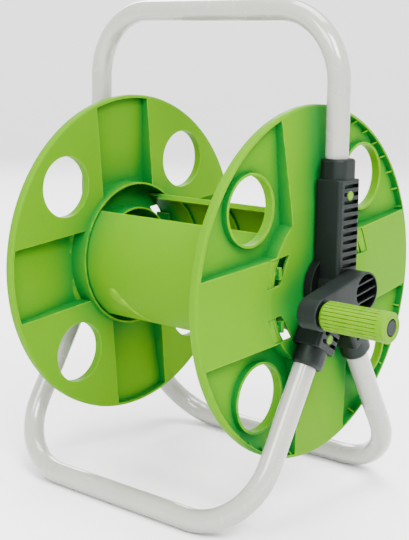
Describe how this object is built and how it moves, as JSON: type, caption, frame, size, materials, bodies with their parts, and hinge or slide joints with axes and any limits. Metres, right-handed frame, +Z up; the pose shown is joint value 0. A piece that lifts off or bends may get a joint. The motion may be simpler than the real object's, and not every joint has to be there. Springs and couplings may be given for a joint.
{
  "type": "garden hose reel",
  "caption": "Free-standing garden hose reel: hose drum with open flanges on a bent-tube stand with a carrying bar, turned by a side crank with a spinning grip.",
  "frame": {"origin": "on the floor, midway between the front and rear foot bars and midway between the two side tubes", "axes": "+X along the drum's axis towards the crank, -Y towards the front, +Z up"},
  "size_m": [0.4274, 0.309, 0.4464],
  "materials": {
    "tube": "satin powder coat, warm light grey",
    "frame_plastic": "fine moulded texture, dark grey",
    "drum_plastic": "satin moulded, leaf green",
    "grip_plastic": "satin moulded, lime",
    "cap_plastic": "satin moulded, lime",
    "bearing_plastic": "smooth, off-white",
    "steel": "zinc plated",
    "rubber": "smooth, black"
  },
  "bodies": {
    "frame": {"handle_tube": "tube", "front_leg_tube": "tube", "rear_leg_tube": "tube", "right_bracket": "frame_plastic", "left_bracket": "frame_plastic", "frame_screws": "steel", "screw_caps": "cap_plastic", "right_bearing_bush": "bearing_plastic", "left_spacer_ring": "frame_plastic", "inlet_spindle": "frame_plastic", "inlet_seal": "rubber"},
    "drum": {"right_flange": "drum_plastic", "left_flange": "drum_plastic", "front_drum_panel": "drum_plastic", "rear_drum_panel": "drum_plastic", "left_bearing_bush": "bearing_plastic", "right_thrust_washer": "bearing_plastic", "crank_arm": "frame_plastic", "crank_screw": "steel", "crank_washer": "steel", "grip_pin": "frame_plastic", "swivel_seals": "rubber", "outlet_elbow": "frame_plastic", "outlet_nipple": "frame_plastic"},
    "grip": {"grip_sleeve": "grip_plastic"}
  },
  "joints": [
    {"name": "drum_spin", "type": "hinge", "parent": "frame", "child": "drum", "pos_m": [0, 0, 0.2025], "axis": [1, 0, 0], "continuous": true},
    {"name": "grip_spin", "type": "hinge", "parent": "drum", "child": "grip", "pos_m": [0.2, -0.06066, 0.19235], "axis": [1, 0, 0], "continuous": true}
  ]
}
